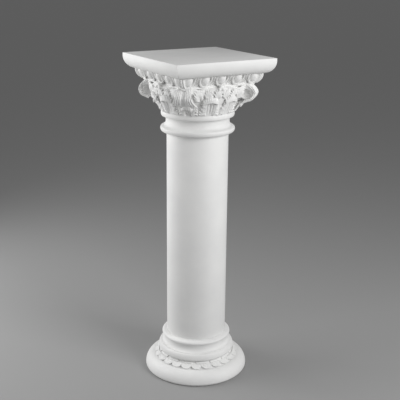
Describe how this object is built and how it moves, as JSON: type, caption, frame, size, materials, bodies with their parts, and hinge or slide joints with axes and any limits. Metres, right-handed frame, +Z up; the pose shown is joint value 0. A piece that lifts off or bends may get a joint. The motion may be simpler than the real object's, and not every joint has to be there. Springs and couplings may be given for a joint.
{
  "type": "decorative column",
  "caption": "Round plain column with a moulded base and a carved leaf-and-volute capital under a flat square top, to stand on a floor and carry a vase or figure.",
  "frame": {"origin": "middle of the underside, on the floor that the column stands on", "axes": "+Z up the column's axis, X and Y square to the sides of the square top"},
  "size_m": [0.35, 0.35, 1.062],
  "materials": {
    "white_moulding": "matte primed white, as rigid foam mouldings are sold"
  },
  "bodies": {
    "root": {"base": "white_moulding", "shaft": "white_moulding", "capital": "white_moulding"}
  },
  "joints": []
}
